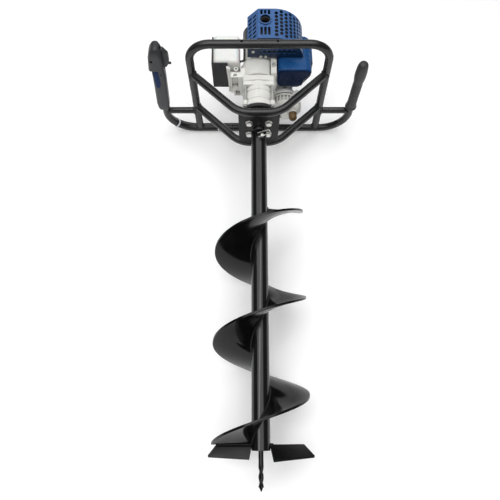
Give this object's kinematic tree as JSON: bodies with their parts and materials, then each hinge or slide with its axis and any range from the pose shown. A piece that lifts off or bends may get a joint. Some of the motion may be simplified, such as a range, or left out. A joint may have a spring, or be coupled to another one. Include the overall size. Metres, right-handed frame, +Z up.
{
  "type": "earth auger",
  "caption": "Petrol earth auger: two-stroke engine over a planetary gearbox, bent-tube frame with a throttle grip and a screw bit with cutting blades.",
  "frame": {"origin": "on the floor under the middle of the machine as it lies on its back, on the bit's axis across the width", "axes": "+Y from the bit's tip towards the engine, +Z up from the floor, +X to the operator's right as seen from the front bar"},
  "size_m": [0.5245, 1.0936, 0.3485],
  "materials": {
    "frame_paint": "gloss black powder coat",
    "bit_paint": "gloss black enamel",
    "zinc_steel": "bright zinc plate",
    "grip_rubber": "moulded rubber",
    "tie_nylon": "natural nylon",
    "black_plastic": "moulded satin",
    "hose_rubber": "smooth hose",
    "blue_plastic": "gloss moulded",
    "red_plastic": "moulded",
    "black_casting": "satin black paint",
    "cast_alloy": "fine die-cast",
    "gear_steel": "machined",
    "plug_ceramic": "glazed",
    "muffler_steel": "heat-dulled sheet",
    "tank_plastic": "natural polyethylene",
    "filter_foam": "open foam",
    "amber_plastic": "soft translucent",
    "rope_nylon": "braided"
  },
  "bodies": {
    "frame": {"front_ring": "frame_paint", "rear_handlebar": "frame_paint", "cradle_tubes": "frame_paint", "handle_struts": "frame_paint", "mount_plate": "frame_paint", "plate_bolts": "zinc_steel", "gearbox_bolts": "zinc_steel", "cover_screws": "zinc_steel", "right_grip": "grip_rubber", "cable_ties": "tie_nylon", "throttle_cable": "black_plastic", "handle_lower_shell": "black_plastic", "handle_upper_shell": "black_plastic", "tank_guard": "black_plastic", "starter_housing": "black_plastic", "fuel_hoses": "hose_rubber", "grip_insert": "blue_plastic", "muffler_guard": "blue_plastic", "engine_shroud": "blue_plastic", "gearbox_cover": "black_casting", "gearbox_housing": "cast_alloy", "fan_case": "cast_alloy", "crankcase": "cast_alloy", "cylinder_barrel": "cast_alloy", "intake_manifold": "cast_alloy", "carburettor": "cast_alloy", "air_box": "cast_alloy", "air_box_lid": "cast_alloy", "ball_bearings": "gear_steel", "ring_gear": "gear_steel", "spark_plug": "plug_ceramic", "muffler": "muffler_steel", "fuel_tank": "tank_plastic", "filter_element": "filter_foam"},
    "bit": {"output_shaft": "gear_steel", "bit_tube": "bit_paint", "bit_flight": "bit_paint", "cutting_blades": "bit_paint", "pilot_screw": "bit_paint", "drive_pin": "zinc_steel"},
    "planet_a": {"output_planet_a": "gear_steel"},
    "planet_b": {"output_planet_b": "gear_steel"},
    "planet_c": {"output_planet_c": "gear_steel"},
    "middle": {"middle_carrier": "gear_steel"},
    "fast_planet_a": {"input_planet_a": "gear_steel"},
    "fast_planet_b": {"input_planet_b": "gear_steel"},
    "drum": {"clutch_drum": "gear_steel"},
    "crank": {"crankshaft": "gear_steel", "flywheel": "cast_alloy", "clutch_shoes": "gear_steel"},
    "trigger": {"throttle_trigger": "black_plastic"},
    "lockout": {"lockout_lever": "black_plastic"},
    "switch": {"stop_switch": "red_plastic"},
    "cap": {"fuel_cap": "black_plastic"},
    "primer": {"primer_bulb": "amber_plastic"},
    "choke": {"choke_lever": "zinc_steel"},
    "pulley": {"starter_pulley": "black_plastic"},
    "starter": {"starter_grip": "black_plastic", "starter_rope": "rope_nylon"}
  },
  "joints": [
    {"name": "bit_spin", "type": "hinge", "parent": "frame", "child": "bit", "pos_m": [0, 0.25476, 0.1665], "axis": [0, 0.9932, 0.1164], "continuous": true},
    {"name": "planet_a_spin", "type": "hinge", "parent": "bit", "child": "planet_a", "pos_m": [0.0165, 0.3223, 0.17442], "axis": [0, 0.9932, 0.1164], "continuous": true},
    {"name": "planet_b_spin", "type": "hinge", "parent": "bit", "child": "planet_b", "pos_m": [-0.00825, 0.32396, 0.16023], "axis": [0, 0.9932, 0.1164], "continuous": true},
    {"name": "planet_c_spin", "type": "hinge", "parent": "bit", "child": "planet_c", "pos_m": [-0.00825, 0.32064, 0.18861], "axis": [0, 0.9932, 0.1164], "continuous": true},
    {"name": "middle_spin", "type": "hinge", "parent": "frame", "child": "middle", "pos_m": [0, 0.33521, 0.17593], "axis": [0, 0.9932, 0.1164], "continuous": true},
    {"name": "fast_planet_a_spin", "type": "hinge", "parent": "middle", "child": "fast_planet_a", "pos_m": [0.0165, 0.34117, 0.17663], "axis": [0, 0.9932, 0.1164], "continuous": true},
    {"name": "fast_planet_b_spin", "type": "hinge", "parent": "middle", "child": "fast_planet_b", "pos_m": [-0.0165, 0.34117, 0.17663], "axis": [0, 0.9932, 0.1164], "continuous": true},
    {"name": "drum_spin", "type": "hinge", "parent": "frame", "child": "drum", "pos_m": [0, 0.3809, 0.18129], "axis": [0, 0.9932, 0.1164], "continuous": true},
    {"name": "crank_spin", "type": "hinge", "parent": "frame", "child": "crank", "pos_m": [0, 0.42361, 0.18629], "axis": [0, 0.9932, 0.1164], "continuous": true},
    {"name": "throttle_pull", "type": "hinge", "parent": "frame", "child": "trigger", "pos_m": [-0.237, 0.35651, 0.26904], "axis": [0, -0.9932, -0.1164], "range_deg": [0, 13], "stiffness_Nm_per_rad": 0.6},
    {"name": "lockout_press", "type": "hinge", "parent": "frame", "child": "lockout", "pos_m": [-0.246, 0.37454, 0.19262], "axis": [1, 0, 0], "range_deg": [0, 6], "stiffness_Nm_per_rad": 0.4},
    {"name": "stop_switch_slide", "type": "slide", "parent": "frame", "child": "switch", "axis": [0, 0.1164, -0.9932], "range_m": [0, 0.008]},
    {"name": "fuel_cap_lift", "type": "slide", "parent": "frame", "child": "cap", "axis": [0, 0.9932, 0.1164], "range_m": [0, 0.06]},
    {"name": "primer_press", "type": "slide", "parent": "frame", "child": "primer", "axis": [0, 0.9932, 0.1164], "range_m": [0, 0.003], "stiffness_N_per_m": 900},
    {"name": "choke_turn", "type": "hinge", "parent": "frame", "child": "choke", "pos_m": [0.064, 0.35242, 0.12358], "axis": [0, 0.9932, 0.1164], "range_deg": [0, 60]},
    {"name": "starter_pull", "type": "slide", "parent": "frame", "child": "starter", "axis": [1, 0, 0], "range_m": [0, 0.42], "stiffness_N_per_m": 20, "springref_m": -0.3, "deforming": ["starter_rope"]},
    {"name": "pulley_spin", "type": "hinge", "parent": "frame", "child": "pulley", "pos_m": [0, 0.51299, 0.19677], "axis": [0, 0.9932, 0.1164], "range_deg": [-810, 0]}
  ],
  "couplings": [
    {"joint": "planet_a_spin", "follows": "bit_spin", "ratio": -2.5714},
    {"joint": "planet_b_spin", "follows": "bit_spin", "ratio": -2.5714},
    {"joint": "planet_c_spin", "follows": "bit_spin", "ratio": -2.5714},
    {"joint": "middle_spin", "follows": "bit_spin", "ratio": 5.5},
    {"joint": "fast_planet_a_spin", "follows": "bit_spin", "ratio": -14.143},
    {"joint": "fast_planet_b_spin", "follows": "bit_spin", "ratio": -14.143},
    {"joint": "drum_spin", "follows": "bit_spin", "ratio": 30.25},
    {"joint": "pulley_spin", "follows": "starter_pull", "rad_per_m": -33.333}
  ]
}
